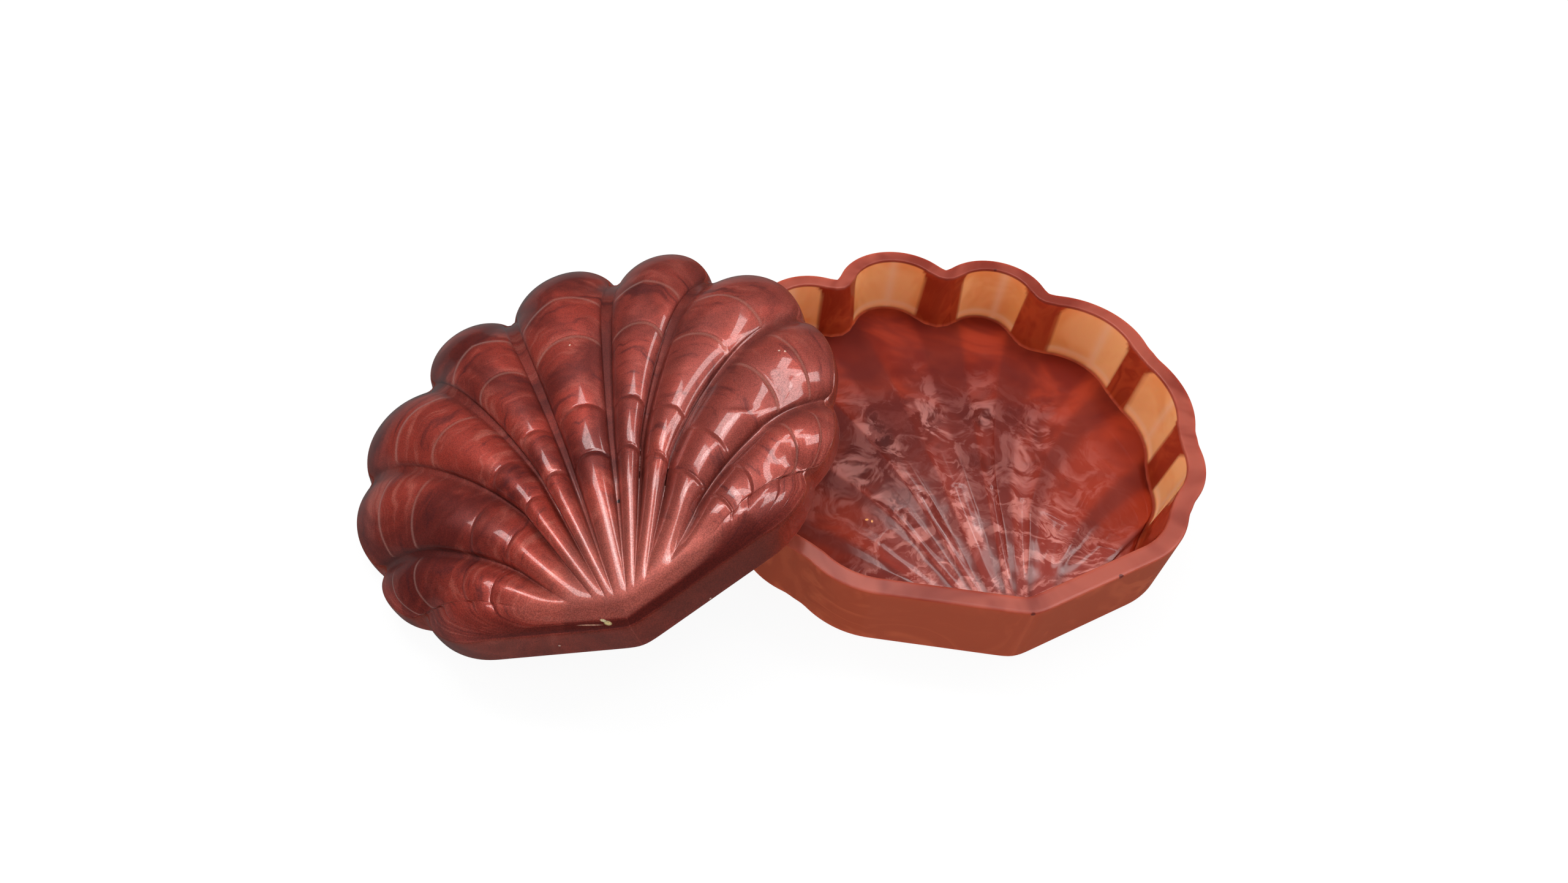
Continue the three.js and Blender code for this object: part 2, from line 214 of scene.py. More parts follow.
inside_levels = [
    (WALL + WALL_DRAFT * (TRAY_HEIGHT - z) / (TRAY_HEIGHT - fillet_top), z)
    for z in np.linspace(TRAY_HEIGHT - 0.8, fillet_top + 0.6, 16)
]
inside_levels += fillet[:-1]

# The relief: ribs that fan out from the front and widen into lobes, with growth steps across
# them. Each step is (place from the front to the edge, drop, height of the cushion before it).
FAN_CENTRE_Y = -5.0
FAN_ANGLES = np.radians([39.8, 53.1, 67.5, 76.5, 84.1])
FAN_BEND, FAN_BEND_POWER = 0.455, 1.15
FRONT_FOLD = 0.9
EAR_TIP, EAR_TIP_SHARE = 0.87, 0.97
MIDDLE_STRETCH, SIDE_STRETCH, MOST_STRETCH = -0.38, 0.08, 0.9
STEPS = [(0.345, 0.5, 0.3), (0.487, 0.5, 0.35), (0.719, 0.3, 0.4), (0.86, 0.3, 0.12)]
STEP_HALF = 0.009
STEP_POWER = 1.6
RELIEF_RINGS = 150
RINGS_AT_STEP, RINGS_STEP_HALF = 6, 1.4 * STEP_HALF


def smoothstep(value, low, high):
    t = np.clip((value - low) / (high - low), 0, 1)
    return t * t * (3 - 2 * t)


def growth_steps(along):
    """Height of the growth steps: a segment is a long cushion that swells outward and drops at
    its end. The first one swells late, away from the front."""
    start = 0.0
    for at, drop, cushion in STEPS:
        if along < at + STEP_HALF:
            rise = min(max((along - start) / (at - start), 0), 1)
            swell = 1 - (2 * rise - 1) ** 2 if start > 0 else 8 * rise ** 3 * (1 - rise)
            kept = 1 - smoothstep(along, at - STEP_HALF, at + STEP_HALF)
            return cushion * swell + drop * rise ** STEP_POWER * kept
        start = at
    return 0.0


def front_distance(xy):
    """Distance from the nearer of the two straight front sides."""
    return (xy[:, 1] - FRONT_SLOPE * np.abs(xy[:, 0])) / math.hypot(1, FRONT_SLOPE)


def groove_course(rim_point, aim, front_inset, part):
    """Course of the groove between two lobes, from its end by the front (0) to the rim (1)."""
    polar = math.atan2(rim_point[1] - FAN_CENTRE_Y, rim_point[0])
    far = math.hypot(rim_point[0], rim_point[1] - FAN_CENTRE_Y)
    off_middle = abs(aim - math.pi / 2) / (math.pi / 2 - FAN_ANGLES[0])
    inset = front_inset + FRONT_FOLD * (1 - off_middle ** 4)
    reach_y = inset * math.hypot(1, FRONT_SLOPE) - FAN_CENTRE_Y
    near = reach_y / (math.sin(aim) - FRONT_SLOPE * abs(math.cos(aim)))
    radius = near + (far - near) * part
    bent = np.clip((radius / far - FAN_BEND) / (1 - FAN_BEND), 0, 1) ** FAN_BEND_POWER
    angle = aim + (polar - aim) * bent
    return np.column_stack([radius * np.cos(angle), FAN_CENTRE_Y + radius * np.sin(angle)])


def relief_plan(outline, rim, front_inset, shares):
    """Plan of the relief: each column runs from the rim ring in to the thin fold by the front, in
    which the lobes' ends lie behind and the front's ends before."""
    lobe, share, reach = outline.lobe, outline.share, outline.reach
    column = np.arange(COLUMNS)
    aims = np.concatenate([FAN_ANGLES, (math.pi - FAN_ANGLES)[::-1]])
    at_notch = np.flatnonzero(np.diff(lobe) > 0)
    ends = (rim[at_notch, :2] + rim[at_notch + 1, :2]) / 2

    def grooves(part):
        return np.array([groove_course(*groove, front_inset, part) for groove in zip(ends, aims)])

    starts = grooves(np.zeros(1))[:, 0]
    off_middle = np.abs(np.clip(outline.around, 1, LEFT_EAR) - MIDDLE_LINE)
    stretch = np.minimum(MIDDLE_STRETCH + SIDE_STRETCH * off_middle ** 2, MOST_STRETCH)
    on_lobe = (lobe > 0) & (lobe < LEFT_EAR)
    n = np.clip(lobe - 1, 0, len(BULGES) - 1)
    chord = ends[n] + (ends[n + 1] - ends[n]) * share[:, None]
    beside = np.where(lobe == 0, 0, len(NOTCHES) - 1)
    end_x = starts[beside, 0] * np.interp(reach, [0, EAR_TIP, 1], [0, EAR_TIP_SHARE, 1])
    fold_inset = front_inset - FRONT_FOLD * (1 - reach ** 4)
    fold_y = fold_inset * math.hypot(1, FRONT_SLOPE) + FRONT_SLOPE * np.abs(end_x)
    fold = np.column_stack([end_x, fold_y])
    plan = []
    for along in shares:
        part = along + stretch * along ** 3 * (1 - along)
        courses = grooves(part)
        right, left = courses[n, column], courses[n + 1, column]
        across = right + (left - right) * share[:, None]
        on_lobes = across + (rim[:, :2] - chord) * part[:, None]
        straight = starts[beside] + (ends[beside] - starts[beside]) * along
        lean = (courses[beside, column] - straight) * (reach ** 6)[:, None]
        by_front = fold + (rim[:, :2] - fold) * along + lean
        plan.append(np.where(on_lobe[:, None], on_lobes, by_front))
    return plan


# Shares of the way from the edge (1) to the front (0), closer together at the steps.
shares = list(np.linspace(0, 0.995, RELIEF_RINGS))
for at, _, _ in STEPS:
    shares += list(np.linspace(at - RINGS_STEP_HALF, at + RINGS_STEP_HALF, RINGS_AT_STEP))
shares = sorted(set(np.round(shares, 5)), reverse=True)

# The floor: the relief sunk as flutes with low ridges between them, and low waves over it.
FLOOR_RISE = 1.2
FLOOR_FRONT_INSET = 8.6
FLUTE_DEPTH, FLUTE_STEPS = 0.9, 0.4
FLUTE_FRONT, FLUTE_FULL, FLUTE_START = 8.5, 14, 0.3
WALL_FADE = 0.88
FLOOR_WAVES, WAVE_LENGTH = 0.09, 4.5
WAVE_FRONT, WAVE_FULL = 6, 10

from_ridge = np.minimum(tray_outline.share, 1 - tray_outline.share) * 2
ridge = (0.5 + 0.5 * np.cos(math.pi * from_ridge)) * (tray_outline.reach == 1)


def tray_floor_z(xy, along):
    """Height of the carved floor."""
    from_front = front_distance(xy)
    fade = smoothstep(from_front, FLUTE_FRONT, FLUTE_FULL) * smoothstep(along, 0.0, FLUTE_START)
    flutes = (FLUTE_DEPTH * ridge - FLUTE_STEPS * growth_steps(along) * (1 - ridge)) * fade
    waves = np.array([noise.noise(Vector((x, y, 0)) / WAVE_LENGTH) for x, y in xy])
    waves *= FLOOR_WAVES * smoothstep(from_front, WAVE_FRONT, WAVE_FULL)
    off_wall = 1 - smoothstep(along, WALL_FADE, 1.0)
    return FLOOR_EDGE_Z + FLOOR_RISE * (1 - along ** 4) + (flutes + waves) * off_wall


# How the resin is spread: thin clear panels in the lobes' inside walls, whose amber is a painted
# glow of the light that passes through them, with a painted highlight as a pale streak and a pale
# line at their foot, dark red ribs between them, rose mica in the floor's middle and, brightened
# as a painted sheen, at its front, a polished inside, and a rim and outside that are sanded satin.
PANEL_FOOT, PANEL_FOOT_FADE = FLOOR_EDGE_Z + 0.1, 0.8
PANEL_TOP, PANEL_TOP_FADE = rim_low, 0.5
PANEL_CORNER = 3.2
PANEL_SIDE = (2.8, 4.0)
# A painted highlight: a pale streak up each panel and a pale line near its foot.
PALE_STREAK_SHARE, PALE_STREAK_WIDTH, PALE_STREAK = 0.42, 0.05, 0.5
PALE_LINE_Z, PALE_LINE_WIDTH, PALE_LINE = FLOOR_EDGE_Z + 1.9, 0.9, 0.55
MIDDLE_RIGHT, MIDDLE_LEFT, BESIDE_MIDDLE = (2.0, 4.5), (7.2, 8.8), 0.3
MIDDLE_EDGE = (0.55, 0.85)
FRONT_EDGE_SHARES = (0.25, 0.5)
GLOSS_LOW, GLOSS_HIGH = FLOOR_EDGE_Z + 1, FLOOR_EDGE_Z + 3
OUTSIDE_SATIN, FRONT_GLOSS = 0.9, 0.6
RIDGE_SHARPNESS = 5

tray_rings, tray_masks = [], {}


def add_tray_ring(level, inside=False, rim_face=False, on_floor=False, along=1.0):
    """One more ring of the tray, with how its resin is spread there."""
    z, around = level[:, 2], tray_outline.around
    in_corner = np.clip((z - PANEL_TOP + PANEL_CORNER) / PANEL_CORNER, 0, 1)
    narrowing = PANEL_CORNER * (1 - np.sqrt(1 - in_corner ** 2))
    panel = smoothstep(tray_outline.from_notch - narrowing, *PANEL_SIDE)
    panel = panel * (tray_outline.reach == 1) * inside
    height = smoothstep(z, PANEL_FOOT, PANEL_FOOT + PANEL_FOOT_FADE)
    height = height * (1 - smoothstep(z, PANEL_TOP - PANEL_TOP_FADE, PANEL_TOP))
    streak = np.exp(-(((tray_outline.share - PALE_STREAK_SHARE) / PALE_STREAK_WIDTH) ** 2))
    line = np.exp(-(((z - PALE_LINE_Z) / PALE_LINE_WIDTH) ** 2))
    in_middle = smoothstep(around, *MIDDLE_RIGHT) * (1 - smoothstep(around, *MIDDLE_LEFT))
    at_front = 1 - smoothstep(along, *FRONT_EDGE_SHARES)
    satin = OUTSIDE_SATIN
    if inside:
        satin = 1.0 if on_floor else 1 - smoothstep(z, GLOSS_LOW, GLOSS_HIGH)
        satin = satin * (1 - FRONT_GLOSS * at_front)
    spread = {
        "inside": inside,
        "upright": inside and not on_floor,
        "rim_face": rim_face,
        "satin": satin,
        "backlit_amber": panel * height * (not on_floor),
        "pale_highlight": panel * np.maximum(PALE_STREAK * streak * height, PALE_LINE * line) * (along == 1),
        "floor_middle": (BESIDE_MIDDLE + (1 - BESIDE_MIDDLE) * in_middle)
        * (1 - smoothstep(along, *MIDDLE_EDGE)),
        "front_sheen": at_front,
        "ridge": ridge ** RIDGE_SHARPNESS * on_floor,
        "around": around,
        "along": along,
    }
    tray_rings.append(level)
    for mask, values in spread.items():
        tray_masks.setdefault(mask, []).append(np.ones(COLUMNS) * values)


def lofted(name, outline, rings, masks, underside_z, turn, place):
    """A closed casting through its rings, in metres. The first ring closes on a point, and the
    last, which lies folded along the front, is sewn up between its lobes and its front sides."""
    points = np.vstack([[0, PLAN_CENTRE_Y, underside_z], *rings])
    points[:, 1] -= PLAN_CENTRE_Y
    faces = []
    for i in range(COLUMNS):
        j = (i + 1) % COLUMNS
        faces.append((0, 1 + j, 1 + i))
        for base in range(1, 1 + (len(rings) - 1) * COLUMNS, COLUMNS):
            faces.append((base + i, base + j, base + COLUMNS + j, base + COLUMNS + i))
    lobe_columns = np.flatnonzero((outline.lobe > 0) & (outline.lobe < LEFT_EAR))
    first, last = lobe_columns[[0, -1]]
    base = 1 + (len(rings) - 1) * COLUMNS
    back = [base + i for i in range(last, first - 1, -1)]
    front = [base + i % COLUMNS for i in range(last + 1, COLUMNS + first)]
    x = points[:, 0]
    faces.append((back[0], front[0], front[1]))
    b, f = 0, 1
    while b < len(back) - 1 or f < len(front) - 1:
        if f == len(front) - 1 or (b < len(back) - 1 and x[back[b + 1]] < x[front[f + 1]]):
            faces.append((back[b], front[f], back[b + 1]))
            b += 1
        else:
            faces.append((back[b], front[f], front[f + 1]))
            f += 1
    mesh = bpy.data.meshes.new(name)
    mesh.from_pydata((points * MM).tolist(), [], faces)
    for mask, values in masks.items():
        layer = mesh.attributes.new(mask, "FLOAT", "POINT")
        filled = np.concatenate([values[0][:1], *values])
        layer.data.foreach_set("value", filled.astype(np.float32))
    mesh.transform(place @ Matrix.Rotation(turn, 4, "Z"))
    mesh.shade_smooth()
    piece = bpy.data.objects.new(name, mesh)
    bpy.context.scene.collection.objects.link(piece)
    return piece


TRAY_TURN = math.radians(8.3)
TRAY_PLACE = (40.892, -2.940, 0)

for level in outside_levels:
    add_tray_ring(tray_ring(*level))
for level in rim_levels:
    add_tray_ring(tray_ring(*level), rim_face=True)
add_tray_ring(tray_ring(*inner_arris[-1]), inside=True, rim_face=True)
for level in inside_levels:
    add_tray_ring(tray_ring(*level), inside=True)
floor_rim = tray_ring(wall_foot + FLOOR_FILLET, FLOOR_EDGE_Z)
add_tray_ring(floor_rim, inside=True, on_floor=True)
for along, xy in zip(shares, relief_plan(tray_outline, floor_rim, FLOOR_FRONT_INSET, shares)):
    carved = np.column_stack([xy, tray_floor_z(xy, along)])
    add_tray_ring(carved, inside=True, on_floor=True, along=along)

tray = lofted(
    "tray_cast", tray_outline, tray_rings, tray_masks, underside_z=0, turn=TRAY_TURN,
    place=Matrix.Translation(Vector(TRAY_PLACE) * MM),
)
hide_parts("tray")
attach(tray, "root")


def new_node(tree, kind, **values):
    """A node with its properties and the plain values of its inputs set."""
    made = tree.nodes.new(kind)
    for key, value in values.items():
        if key in made.inputs:
            made.inputs[key].default_value = value
        else:
            setattr(made, key, value)
    return made


def grey_ramp(tree, source, *stops):
    """A mask from a value, by (place, grey) stops."""
    ramp = tree.nodes.new("ShaderNodeValToRGB")
    ramp.color_ramp.interpolation = "EASE"
    marks = ramp.color_ramp.elements
    while len(marks) < len(stops):
        marks.new(0.5)
    for mark, (at, grey) in zip(marks, stops):
        mark.position = at
        mark.color = (grey, grey, grey, 1)
    tree.links.new(source, ramp.inputs[0])
    return ramp.outputs[0]


def mixed(tree, share, one, other, blend="MIX"):
    """Two colours mixed by a share; each may be a socket or plain."""
    mix = new_node(tree, "ShaderNodeMix", data_type="RGBA", blend_type=blend)
    for value, socket in ((share, mix.inputs[0]), (one, mix.inputs[6]), (other, mix.inputs[7])):
        if isinstance(value, bpy.types.NodeSocket):
            tree.links.new(value, socket)
        elif isinstance(value, tuple):
            socket.default_value = (*value, 1)
        else:
            socket.default_value = value
    return mix.outputs[2]


def reckoned(tree, operation, *terms):
    """A maths node on sockets or plain numbers."""
    made = new_node(tree, "ShaderNodeMath", operation=operation)
    made.use_clamp = operation == "SUBTRACT"
    for term, socket in zip(terms, made.inputs):
        if isinstance(term, bpy.types.NodeSocket):
            tree.links.new(term, socket)
        else:
            socket.default_value = term
    return made.outputs[0]


def mask_of(tree, name):
    return new_node(tree, "ShaderNodeAttribute", attribute_name=name).outputs["Fac"]


def tinted(tree, colour, mask, strength, tint):
    """A colour with a tint over it, where a named mask or a socket has it."""
    if isinstance(mask, str):
        mask = mask_of(tree, mask)
    if strength < 1:
        mask = reckoned(tree, "MULTIPLY", mask, strength)
    return mixed(tree, mask, colour, tint)


def effect_group(name, inputs, outputs):
    """A new node group with its sockets, as (group, what it is given, what it puts out)."""
    group = bpy.data.node_groups.new(name, "ShaderNodeTree")
    for socket, kind in inputs.items():
        group.interface.new_socket(name=socket, in_out="INPUT", socket_type=kind)
    for socket in outputs:
        group.interface.new_socket(name=socket, in_out="OUTPUT", socket_type="NodeSocketFloat")
    return group, group.nodes.new("NodeGroupInput"), group.nodes.new("NodeGroupOutput")


VECTOR, NUMBER = "NodeSocketVector", "NodeSocketFloat"
AROUND_STREAKS, ALONG_STREAKS = 1.3, 27.0
CLOUD_DRIFT = (1.4, 4.5, 0.0)


def pearl_swirl_group():
    """Mica stirred into resin: soft clouds, fine streaks that lie round the shell like its growth
    lines, and a close grain."""
    group, given, result = effect_group(
        "pearl_swirl",
        {"Place": VECTOR, "Around": NUMBER, "Along": NUMBER, "Cloud Scale": NUMBER,
         "Streak Scale": NUMBER},
        ("Cloud", "Streak", "Grain"),
    )
    link = group.links.new
    cloud = new_node(group, "ShaderNodeTexNoise", Detail=3.0, Roughness=0.6, Distortion=1.1)
    link(given.outputs["Place"], cloud.inputs["Vector"])
    link(given.outputs["Cloud Scale"], cloud.inputs["Scale"])
    flow = group.nodes.new("ShaderNodeCombineXYZ")
    link(reckoned(group, "MULTIPLY", given.outputs["Around"], AROUND_STREAKS), flow.inputs["X"])
    link(reckoned(group, "MULTIPLY", given.outputs["Along"], ALONG_STREAKS), flow.inputs["Y"])
    drift = new_node(group, "ShaderNodeVectorMath", operation="MULTIPLY_ADD")
    link(cloud.outputs["Color"], drift.inputs[0])
    drift.inputs[1].default_value = CLOUD_DRIFT
    link(flow.outputs["Vector"], drift.inputs[2])
    streak = new_node(group, "ShaderNodeTexNoise", Detail=3.0, Roughness=0.6, Distortion=0.3)
    link(drift.outputs[0], streak.inputs["Vector"])
    link(given.outputs["Streak Scale"], streak.inputs["Scale"])
    grain = new_node(group, "ShaderNodeTexNoise", Scale=4200.0, Detail=1.0, Roughness=0.6)
    link(given.outputs["Place"], grain.inputs["Vector"])
    for pattern, name in ((cloud, "Cloud"), (streak, "Streak"), (grain, "Grain")):
        link(pattern.outputs["Fac"], result.inputs[name])
    return group


def mark_and_glint_group():
    """A small spot, for marks in the resin such as specks, nicks and a pit, and for painted glints
    of
    light: 1 in its middle, 0 outside.
    """
    group, given, result = effect_group(
        "mark_and_glint", {"Place": VECTOR, "Centre": VECTOR, "Tilt": VECTOR, "Size": VECTOR}, ("Mark",)
    )
    link = group.links.new
    turned = new_node(group, "ShaderNodeMapping", vector_type="TEXTURE")
    link(given.outputs["Place"], turned.inputs["Vector"])
    link(given.outputs["Centre"], turned.inputs["Location"])
    link(given.outputs["Tilt"], turned.inputs["Rotation"])
    link(given.outputs["Size"], turned.inputs["Scale"])
    far = new_node(group, "ShaderNodeVectorMath", operation="LENGTH")
    link(turned.outputs["Vector"], far.inputs[0])
    link(grey_ramp(group, far.outputs["Value"], (0.55, 1), (1.0, 0)), result.inputs["Mark"])
    return group


pearl_swirl = pearl_swirl_group()
mark_and_glint = mark_and_glint_group()


def set_values(node, values):
    for name, value in values.items():
        node.inputs[name].default_value = value


def placed_effect(tree, group, values):
    """A group node with the object's own coordinates as its place, and its plain values."""
    effect = new_node(tree, "ShaderNodeGroup", node_tree=group)
    where = tree.nodes.new("ShaderNodeTexCoord")
    tree.links.new(where.outputs["Object"], effect.inputs["Place"])
    set_values(effect, values)
    return effect


def swirl_node(tree, cloud_scale, streak_scale):
    values = {"Cloud Scale": cloud_scale, "Streak Scale": streak_scale}
    swirl = placed_effect(tree, pearl_swirl, values)
    tree.links.new(mask_of(tree, "around"), swirl.inputs["Around"])
    tree.links.new(mask_of(tree, "along"), swirl.inputs["Along"])
    return swirl


def marked(tree, colour, tint, centre, size, tilt=0.0):
    """A colour with a small mark or painted glint in it, at a place and of a size in millimetres.
    """
    values = {"Centre": Vector(centre) * MM, "Size": Vector(size) * MM, "Tilt": (0, tilt, 0)}
    return mixed(tree, placed_effect(tree, mark_and_glint, values).outputs["Mark"], colour, tint)


# Colours of the tray's resin: pairs are the dark and the light of its swirls.
NEAR_WALL = (0.17, 0.008, 0.002), (0.33, 0.028, 0.007)
FLOOR_MIDDLE = (0.075, 0.007, 0.005), (0.20, 0.020, 0.011)
# The front's light rose is partly the mica's colour and partly a painted sheen of the lamps.
FRONT_SHEEN_ROSE = (0.27, 0.034, 0.023), (0.66, 0.25, 0.21)
OUTSIDE = (0.29, 0.042, 0.011), (0.37, 0.064, 0.019)
RIM_FACE = (0.20, 0.027, 0.015), (0.34, 0.072, 0.045)
RIBS = (0.32, 0.026, 0.005), (0.48, 0.06, 0.014)
# The amber of the thin panels is a painted glow of the light that passes through them.
BACKLIT_AMBER = (0.84, 0.33, 0.10), (0.96, 0.48, 0.19)
WRINKLE_ROSE = (0.32, 0.085, 0.07)
BLOB_ROSE = (0.56, 0.22, 0.19)
RIDGE_RED = (0.10, 0.006, 0.003)
# The colour of the painted highlight on the panels' streak and foot line.
HIGHLIGHT_AMBER = (0.92, 0.60, 0.36)
TRAY_ROUGHNESS, RIM_ROUGHNESS = (0.6,) * 3, (0.36,) * 3

# Its marks: three dark nicks on the rim and two painted gold glints in the floor, as (place, size).
NICK_RED, GOLD_GLINT_HIGHLIGHT = (0.10, 0.014, 0.010), (0.9, 0.42, 0.15)
RIM_NICKS = [((47.5, -52.0, 18.5), 0.6), ((66.9, -43.5, 18.6), 0.7), ((61.4, 51.0, 18.6), 0.5)]
FLOOR_GLINT_HIGHLIGHTS = [((20.9, -20.5, 4.5), (0.5, 0.3, 0.6)), ((22.0, -21.0, 4.5), (0.3, 0.4, 0.6))]

tray_resin = bpy.data.materials.new("tray_pearl_resin")
tray_resin.use_nodes = True
tree = tray_resin.node_tree
swirl = swirl_node(tree, cloud_scale=38.0, streak_scale=1.0)
cloud = grey_ramp(tree, swirl.outputs["Cloud"], (0.36, 0), (0.64, 1))
streaks = grey_ramp(tree, swirl.outputs["Streak"], (0.42, 0), (0.66, 1))
close_swirl = swirl_node(tree, cloud_scale=150.0, streak_scale=0.7)
blobs = grey_ramp(tree, close_swirl.outputs["Cloud"], (0.47, 0), (0.62, 1))
wrinkles = grey_ramp(tree, close_swirl.outputs["Streak"], (0.46, 0), (0.64, 1))
middle = mixed(tree, cloud, *FLOOR_MIDDLE)
middle = tinted(tree, middle, wrinkles, 0.5, WRINKLE_ROSE)
middle = tinted(tree, middle, blobs, 0.6, BLOB_ROSE)
floor_colour = tinted(tree, mixed(tree, cloud, *NEAR_WALL), "floor_middle", 1, middle)
# At the floor's front: rose mica, brightened as a painted sheen of the lamps.
floor_colour = tinted(tree, floor_colour, "front_sheen", 0.7, mixed(tree, wrinkles, *FRONT_SHEEN_ROSE))
floor_colour = tinted(tree, floor_colour, "ridge", 0.6, RIDGE_RED)
colour = tinted(tree, mixed(tree, streaks, *OUTSIDE), "inside", 1, floor_colour)
colour = tinted(tree, colour, "upright", 1, mixed(tree, streaks, *RIBS))
# Painted glow: the thin panels in the lobes' walls are amber where light passes through them.
colour = tinted(tree, colour, "backlit_amber", 1, mixed(tree, cloud, *BACKLIT_AMBER))
# Painted highlight: a pale streak up each panel and a pale line near its foot.
colour = tinted(tree, colour, "pale_highlight", 1, HIGHLIGHT_AMBER)
colour = tinted(tree, colour, "rim_face", 1, mixed(tree, cloud, *RIM_FACE))
for centre, radius in RIM_NICKS:
    colour = marked(tree, colour, NICK_RED, centre, (radius,) * 3)
# Painted highlights: two gold glints of light in the floor.
for centre, size in FLOOR_GLINT_HIGHLIGHTS:
    colour = marked(tree, colour, GOLD_GLINT_HIGHLIGHT, centre, size)
shader = tree.nodes["Principled BSDF"]
tree.links.new(colour, shader.inputs["Base Color"])
set_values(shader, {
    "Metallic": 0.05,
    "Specular IOR Level": 0.2,
    "Subsurface Weight": 0.5,
    "Subsurface Radius": (0.005, 0.002, 0.001),
    "Subsurface Scale": 1.0,
    "Coat Roughness": 0.13,
    "Coat IOR": 1.5,
})
rough = mixed(tree, mask_of(tree, "rim_face"), TRAY_ROUGHNESS, RIM_ROUGHNESS)
tree.links.new(rough, shader.inputs["Roughness"])
coat = reckoned(tree, "SUBTRACT", 1.0, mask_of(tree, "satin"))
tree.links.new(coat, shader.inputs["Coat Weight"])
tray.data.materials.append(tray_resin)

# Lid: the upper half, a thick domed cast of the same resin with the shell's relief, a smooth band
# round its edge and a low locating plug underneath. It lies loose, one edge on the table and
# one by the tray's rim.
PLATEAU_Z = 11.42
BACK_EDGE = (8.3, 26.0, 2.6, 1.0)
FRONT_EDGE = (6.7, 6.5, 2.2, 0.4545)
EAR_SHARE = 0.7
UMBO_Y, UMBO_REACH, UMBO_DROP = 5, 30, 0.8
RIM_INSET, FOOT_ARRIS = 0.5, 0.5
GROOVE_WIDTH, GROOVE_DEPTH, GROOVE_POWER = 0.05, 2.0, 2.3
EAR_GROOVE = 0.15
RELIEF_FRONT, RELIEF_FULL, RELIEF_START, EAR_RELIEF_START = 3.2, 9, 0.3, 0.8
TOP_FRONT_INSET = 3.3
LID_NOTCH_RADIUS, LID_NOTCH_CUT, LID_NOTCH_REACH = 0.35, 1.2, 1.9
PLUG_HEIGHT, PLUG_INSET, PLUG_BEVEL = 2.0, 4.4, 3.0
EDGE_RINGS = 11
LID_TURN = math.radians(15.2)
LID_LEAN = math.radians(14.9)
LEAN_HEADING = math.radians(-80.3)
LID_PLACE = (-39.708, -10.140, 14.860)

lid_outline = shell_outline(LID_NOTCH_RADIUS)


def across_lobe(outline):
    """0 on the crest of a lobe, 1 in the floor of the groove beside it."""
    lobe, share = outline.lobe, outline.share
    from_ear_groove = np.where(lobe == 0, 1 - share, share)
    on_ear = EAR_GROOVE * (1 - np.clip(from_ear_groove * 2, 0, 1)) ** 4
    from_groove = np.minimum(share, 1 - share) * 2
    up = np.clip((from_groove - GROOVE_WIDTH) / (1 - GROOVE_WIDTH), 0, 1)
    to_ear = np.clip(np.abs(outline.around - MIDDLE_LINE) - (MIDDLE_LINE - 2), 0, 1)
    beside_ear = 1 - (1 - EAR_GROOVE) * smoothstep(to_ear, 0.0, 1.0)
    return np.where(lobe % LEFT_EAR == 0, on_ear, (1 - up) ** GROOVE_POWER * beside_ear)


def edge_search(points):
    """The points of an edge, made ready for finding the nearest one."""
    search = kdtree.KDTree(len(points))
    for i, (x, y) in enumerate(points):
        search.insert((x, y, 0), i)
    search.balance()
    return search


def lid_edges(outline):
    """The lobes' edge and the front's edge, each with its points' share of the back's slope,
    because the two slopes turn into each other round the ears."""
    from_front = np.minimum(outline.fine_around, LEFT_EAR + 1 - outline.fine_around)
    round_ear = np.clip((from_front - 0.5) * 2, 0, 1)
    back_share = EAR_SHARE * round_ear + (1 - EAR_SHARE) * np.clip(from_front - 1, 0, 1)
    parts = outline.fine_on_lobes, ~outline.fine_on_lobes
    return [(edge_search(outline.fine_xy[part]), back_share[part]) for part in parts]


in_groove = across_lobe(lid_outline)
edges = lid_edges(lid_outline)


def edge_fall(xy):
    """How far the top has fallen below the plateau, from the nearness of the edge. An edge is
    (fall at the edge, width of the slope, power, roundness)."""
    most = np.zeros(len(xy))
    for edge, back_share in edges:
        found = [edge.find((x, y, 0)) for x, y in xy]
        away = np.array([f[2] for f in found])
        share = back_share[[f[1] for f in found]]
        fall, width, power, roundness = (
            front + (back - front) * share for front, back in zip(FRONT_EDGE, BACK_EDGE)
        )
        near = np.clip(1 - away / width, 0, 1)
        most = np.maximum(most, fall * (1 - (1 - near ** power) ** roundness))
    return most


def lid_height(xy, along):
    """Height of the lid's carved top."""
    fall = edge_fall(xy)
    at_edge = np.clip(fall / FRONT_EDGE[0], 0, 1)
    from_umbo = np.hypot(xy[:, 0], xy[:, 1] - UMBO_Y)
    plateau = PLATEAU_Z - UMBO_DROP * (1 - smoothstep(from_umbo, 0, UMBO_REACH)) * (1 - at_edge)
    fade = smoothstep(front_distance(xy), RELIEF_FRONT, RELIEF_FULL)
    fade = fade * smoothstep(along, 0, RELIEF_START)
    by_ears = smoothstep(along, EAR_RELIEF_START, 1.0) * lid_outline.reach ** 6
    fade = np.maximum(fade, by_ears)
    rise = growth_steps(along) * (1 - in_groove) * fade
    return plateau - fall - GROOVE_DEPTH * in_groove * fade + rise


# How the resin is spread: a painted shade, dark in the grooves and on the steep front shoulder, a
# painted highlight, pale on the two outer growth lines, and amber in the side band.
GROOVE_SIDE, GROOVE_END = (0.45, 0.95), (0.05, 0.25)
BAND_EDGE = (0.97, 1.0)
SHOULDER_TOP, SHOULDER_FOOT, SHOULDER_SIDE = (0.2, 0.5), (0.9, 0.98), (0.5, 0.8)
LINE_STEPS, LINE_HALF, LINE_SIDE = STEPS[2:], 0.004, (0.5, 0.9)

lid_rings, lid_masks = [], {}


def lid_ring(inset, z, cut=0.0):
    return ring(lid_outline, inset, z, -cut, LID_NOTCH_REACH)


